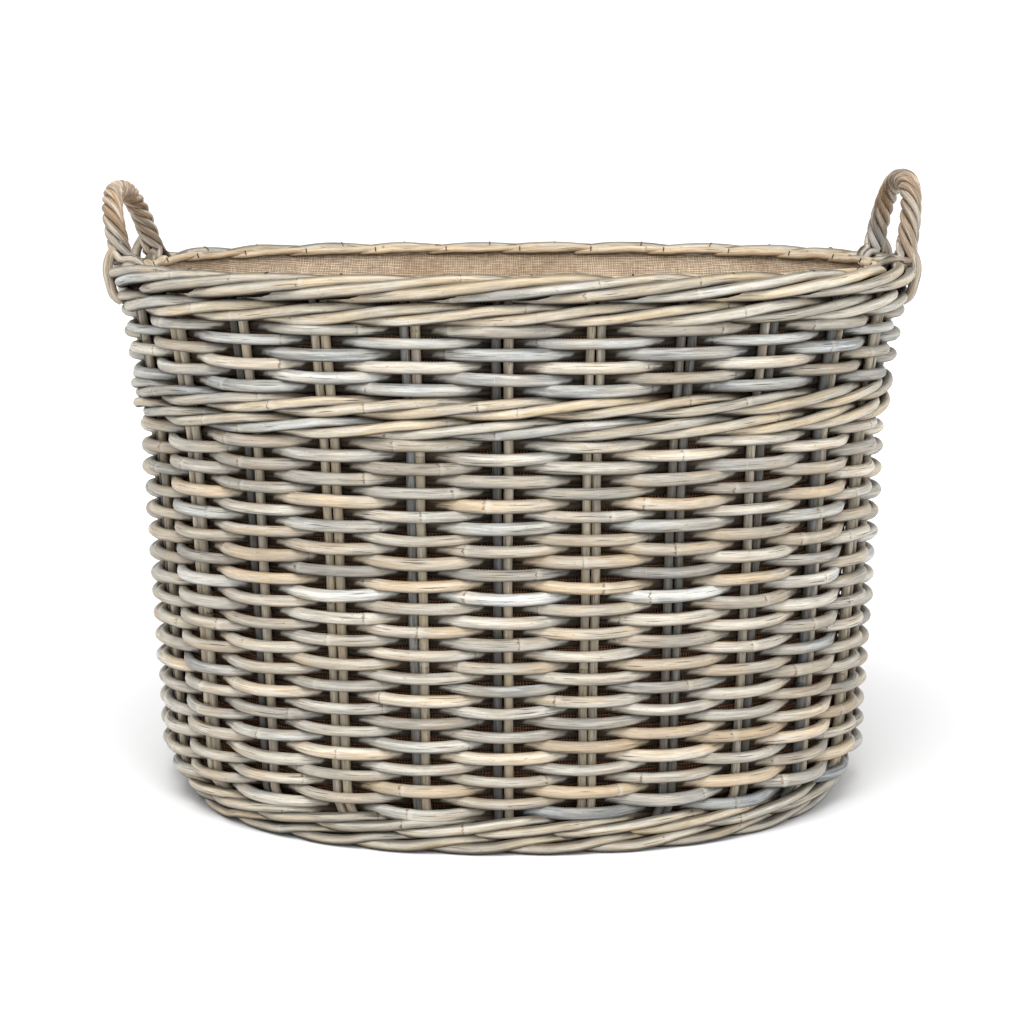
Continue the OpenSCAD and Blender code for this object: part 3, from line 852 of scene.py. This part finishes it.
def curve_through(points, gap=0.003):
    """A smooth line through a few points."""
    points = np.asarray(points, float)
    s = distance_along(points)
    at = np.linspace(0, s[-1], max(12, int(s[-1] / gap)))
    keys = np.column_stack([s, points])
    return np.stack(smooth_keys(keys, at), -1)


def strand_foot(rope, side, leg):
    """Carries a strand on from the end of the rope, over the crest and down inside the rim's strokes."""
    end = rope[-1]
    heading = unit(rope[-1] - rope[-4])
    spread = (end[1] - leg * FOOT_Y) / ROPE_R
    y_down = end[1] + 0.0035 * spread
    behind = rim_point(side, y_down, crest - 0.006, -0.0085 + 0.0015 * rng.standard_normal())
    over = (end + heading * 0.004) * 0.45 + behind * 0.55
    over[2] = crest + 0.0022
    points = [end, end + heading * 0.004, over, behind + [0, 0, 0.002], behind - [0, 0, 0.006]]
    return curve_through(points)[1:]


def make_lashing(side, node):
    """A strand beside each handle foot that loops over the rim, down its outside and under the top wale."""
    low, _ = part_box(node)
    rods = Rods(sides=14)
    for leg in (-1, 1):
        points = [rim_point(side, leg * y, z, out) for y, z, out in (
            (0.0600, crest + 0.0180, -0.0010), (0.0625, crest + 0.0110, 0.0068),
            (0.0655, crest + 0.0030, 0.0132), (0.0685, crest - 0.0060, 0.0165),
            (0.0700, crest - 0.0160, 0.0164), (0.0702, low.z + 0.0130, 0.0145),
            (0.0700, low.z + 0.0088, 0.0080), (0.0700, low.z + 0.0088, 0.0010))]
        centre = curve_through(points)
        outward = unit(np.tile([side * 1.0, 0.0, 0.35], (len(centre), 1)))
        tone = random_tone(0.2, 1.0, 0.5, 0.15)
        rods.add(centre, outward, LASHING_R, LASHING_R, tone, 0.0, knot_gap=0.12)
    return rods.make("strands_" + node, rattan_handle, "rattan_handle", node)


def rim_point(side, y, z, out):
    """A point at distance out from the stakes' oval near one end, at a given y."""
    turn = np.linspace(0.12, 0.38, 400) * side
    points, _ = wall(turn, z, out)
    return points[np.abs(points[:, 1] - y).argmin()]


make_handle(-1, "handle_left", "lashing_left")
make_handle(1, "handle_right", "lashing_right")


# ---------------------------------------------------------------- hessian lining
def grid_mesh(name, points, cloth):
    """A mesh from rows of points, with the cloth's own coordinates stored on them."""
    rows, columns = points.shape[:2]
    index = np.arange(rows * columns).reshape(rows, columns)
    faces = np.stack([index[:-1, :-1], index[:-1, 1:], index[1:, 1:], index[1:, :-1]], -1).reshape(-1, 4)
    mesh = bpy.data.meshes.new(name)
    mesh.from_pydata(points.reshape(-1, 3).tolist(), [], faces.tolist())
    mesh.polygons.foreach_set("use_smooth", [True] * len(mesh.polygons))
    layer = mesh.attributes.new("cloth", "FLOAT_VECTOR", "POINT")
    layer.data.foreach_set("vector", cloth.astype(np.float32).ravel())
    return mesh


def thicken(piece):
    """Gives a sheet its thickness, with the side towards the wicker in a darker copy of the hessian,
    painted shade.
    """
    piece.data.materials.clear()
    piece.data.materials.append(hessian_painted_shade)
    piece.data.materials.append(hessian)
    solid = piece.modifiers.new("thickness", "SOLIDIFY")
    solid.thickness = CLOTH_T
    solid.offset = 0
    solid.material_offset = 1
    solid.material_offset_rim = 1
    return piece


lining_low, lining_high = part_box("lining_left")
LINING_FLOOR = lining_low.z
LINING_TOP = lining_high.z + 0.0045  # a little higher than in the frame, to reach behind the inner band
FLAT_TOP = 0.0105  # the top of the lining is flat for this far, where the inner band and hem lie against it
HEM_DEPTH = 0.0102
HEM_OUT = LINING_OUT + 0.0013  # the hem lies against the side of the lining that faces the wicker


def make_lining_wall():
    """The hessian wall, held flat at its top and at the floor, with slight puffs and folds between."""
    columns, rows = 640, 72
    around, heights = np.linspace(0, 1, columns), np.linspace(LINING_FLOOR, LINING_TOP, rows)
    turn_grid, z_grid = np.meshgrid(around, heights)
    s = turn_grid * PERIMETER
    waves = [np.sin(2 * math.pi * k * (turn_grid + 0.9 * z_grid) + k) for k in (7, 13, 22, 31)]
    puff = 0.0004 * sum(waves)
    folds = 0.0011 * np.sin(2 * math.pi * 41 * turn_grid + 9 * np.sin(2 * math.pi * 3 * turn_grid))
    folds = folds * np.clip((z_grid - LINING_TOP + 0.07) / 0.05, 0, 1)
    from_floor = np.clip((z_grid - LINING_FLOOR) / 0.02, 0, 1)
    from_top = np.clip((LINING_TOP - FLAT_TOP - z_grid) / 0.01, 0, 1)
    out = LINING_OUT + (puff + folds) * from_floor * from_top
    points, _ = wall(turn_grid, z_grid, out)
    mesh = grid_mesh("lining_wall", points, np.stack([s, z_grid, 0 * s], -1))
    piece = thicken(place("lining_wall", mesh, hessian, "hessian", "lining_left", "lining_right"))
    return piece


def make_lining_floor():
    """The hessian floor, in rings from the middle to the foot of the wall."""
    rings, columns = 60, 360
    turn = np.linspace(0, 1, columns)
    share = np.linspace(0.002, 1.0, rings)[:, None]
    edge, _ = wall(turn, np.full(columns, LINING_FLOOR), np.full(columns, LINING_OUT - CLOTH_T))
    points = edge[None] * share[..., None]
    ripple = 0.0004 * np.sin(points[..., 0] * 90) * np.sin(points[..., 1] * 110)
    points[..., 2] = LINING_FLOOR + 0.0010 + ripple
    cloth = points.copy()
    cloth[..., 2] = 0
    mesh = grid_mesh("lining_floor_cloth", points, cloth)
    piece = thicken(place("lining_floor_cloth", mesh, hessian, "hessian", "lining_floor"))
    return piece


def make_hem():
    """The turned top edge: a narrow strip behind the top of the wall, with an uneven lower edge."""
    columns, rows = 900, 6
    turn = np.linspace(0, 1, columns)
    depth = HEM_DEPTH + 0.0005 * np.sin(2 * math.pi * 19 * turn) + 0.0004 * np.sin(2 * math.pi * 47 * turn)
    share = np.linspace(0, 1, rows)
    z = LINING_TOP - 0.0002 - depth[None, :] * (1 - share[:, None])
    out = np.full_like(z, HEM_OUT)
    turn_grid = np.broadcast_to(turn, z.shape)
    points, _ = wall(turn_grid, z, out)
    cloth = np.stack([turn_grid * PERIMETER, z + 0.3, 0 * z], -1)
    mesh = grid_mesh("lining_hem_strip", points, cloth)
    piece = thicken(place("lining_hem_strip", mesh, hessian, "hessian", "lining_hem"))
    return piece


make_lining_wall()
make_lining_floor()
make_hem()


# ---------------------------------------------------------------- floor of the basket
HOOP_OUT = -0.0094  # middle of the hoop, from the line of the stakes
BAR_GAP = 0.070
BARS = 7
STRAND_GAP = 0.0094
STRAND_HALF_THICK = 0.0023
STRAND_HALF_WIDE = 0.0044


def make_hoop():
    """The oval pole that the stakes are nailed to."""
    radius = half_height("base_hoop")
    rods = Rods(sides=16)
    centre, outward = wall(np.linspace(0, 1, 320), mid_z("base_hoop"), HOOP_OUT)
    rods.add(centre, outward, radius * 0.98, radius * 0.98, Tone(0.6, 0.9, 0.2), 0.2)
    return rods.make("rod_base_hoop", rattan_floor, "rattan_floor", "base_hoop")


def make_bars():
    """The cross rods of the floor, from the front to the back."""
    radius, z_mid = half_height("base_bars"), mid_z("base_bars")
    rods = Rods(sides=14)
    half_x, half_y = floor_half()
    for i in range(BARS):
        x = BAR_GAP * (i - (BARS - 1) / 2)
        reach = floor_reach(abs(x) + radius, half_y, half_x)
        y = np.linspace(-reach, reach, 90)
        centre = np.stack([x + 0.0005 * wander(y, 0.3), y, np.full_like(y, z_mid)], -1)
        outward = np.tile([1.0, 0.0, 0.0], (len(y), 1))
        rods.add(centre, outward, radius * 0.97, radius * 0.97, random_tone(0.6, 0.95, 0.2), 0.1)
    return rods.make("rods_base_bars", rattan_floor, "rattan_floor", "base_bars")


def floor_half():
    """Half length and half width of the woven floor, from its longest strand and bar."""
    _, weave_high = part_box("base_weave")
    _, bars_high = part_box("base_bars")
    return weave_high.x + 0.001, bars_high.y


def floor_reach(v, main, other):
    """How far the woven floor's oval reaches along one axis, at distance v along the other."""
    return main * (1 - (abs(v) / other) ** OVAL_POWER) ** (1 / OVAL_POWER)


def make_floor_weave():
    """Flat strands along the floor, each over one bar and under the next."""
    z_mid = mid_z("base_weave")
    half_x, half_y = floor_half()
    lift = half_height("base_weave") - STRAND_HALF_THICK
    count = int((half_y - 0.012) / STRAND_GAP)
    rods = Rods(sides=10)
    for k in range(-count, count + 1):
        y_strand = k * STRAND_GAP
        reach = floor_reach(abs(y_strand) + STRAND_HALF_WIDE, half_x, half_y) - 0.003
        x = np.linspace(-reach, reach, int(2 * reach / 0.005) + 8)
        over_middle = 1 if (abs(k) + (BARS - 1) // 2) % 2 == 0 else -1
        wave = over_middle * np.cos(math.pi * x / BAR_GAP)
        centre = np.stack([x, y_strand + 0.0004 * wander(x, 0.2), z_mid + lift * wave], -1)
        outward = np.tile([0.0, 0.0, 1.0], (len(x), 1))
        tone = random_tone(0.55, 1.0, 0.2)
        rods.add(centre, outward, STRAND_HALF_THICK, STRAND_HALF_WIDE, tone, 0.05)
    return rods.make("rods_base_weave", rattan_floor, "rattan_floor", "base_weave")


make_hoop()
make_bars()
make_floor_weave()


# ---------------------------------------------------------------- stage, light and camera
FLOOR_HALF = 30.0
LIGHT_TARGET = (0, 0, 0.25)
CAMERA_AT = (0.0, -1.834, 0.530)
CAMERA_DOWN = math.radians(9.67)  # how far the camera looks down
SENSOR, LENS = 36.0, 79.5  # millimetres


def make_stage():
    """A plain white floor that glows a little away from the basket, so that it meets the background."""
    mesh = bpy.data.meshes.new("studio_floor")
    corners = [(x * FLOOR_HALF, y * FLOOR_HALF, 0) for x, y in ((-1, -1), (1, -1), (1, 1), (-1, 1))]
    mesh.from_pydata(corners, [], [(0, 1, 2, 3)])
    floor = bpy.data.objects.new("studio_floor", mesh)
    bpy.context.scene.collection.objects.link(floor)
    m = Shader("studio_white", 0.9, 0.0)
    m.surface.inputs["Base Color"].default_value = (0.80, 0.80, 0.805, 1)
    m.surface.inputs["Emission Color"].default_value = (1, 1, 1, 1)
    spot = m.node("ShaderNodeTexCoord").outputs["Object"]
    radius = m.node("ShaderNodeVectorMath", operation="LENGTH")
    m.set(radius.inputs[0], spot)
    m.set(m.surface.inputs["Emission Strength"], m.remap(radius.outputs["Value"], 0.6, 1.8, 0.0, 0.4))
    mesh.materials.append(m.material)


def make_light(name, location, size, power):
    """A round light that faces the basket."""
    data = bpy.data.lights.new(name, "AREA")
    data.shape, data.size, data.energy = "DISK", size, power
    lamp = bpy.data.objects.new(name, data)
    bpy.context.scene.collection.objects.link(lamp)
    lamp.location = location
    direction = Vector(LIGHT_TARGET) - Vector(location)
    lamp.rotation_mode = "QUATERNION"
    lamp.rotation_quaternion = direction.to_track_quat("-Z", "Y")


def make_world(strength):
    """Even white light from all round."""
    world = bpy.data.worlds.new("studio")
    world.use_nodes = True
    background = world.node_tree.nodes["Background"]
    background.inputs["Color"].default_value = (1, 1, 1, 1)
    background.inputs["Strength"].default_value = strength
    bpy.context.scene.world = world


def make_camera():
    """The camera, as fitted to the photograph."""
    data = bpy.data.cameras.new("camera")
    data.sensor_width = SENSOR
    data.lens = LENS
    camera = bpy.data.objects.new("camera", data)
    bpy.context.scene.collection.objects.link(camera)
    camera.location = CAMERA_AT
    camera.rotation_euler = (math.radians(90) - CAMERA_DOWN, 0, 0)
    bpy.context.scene.camera = camera


make_stage()
make_world(strength=1.05)
make_light("key", location=(-0.25, -1.5, 2.7), size=2.0, power=71)
make_light("fill", location=(1.2, -2.2, 1.2), size=1.8, power=14)
make_camera()
bpy.context.scene.view_settings.view_transform = "Standard"
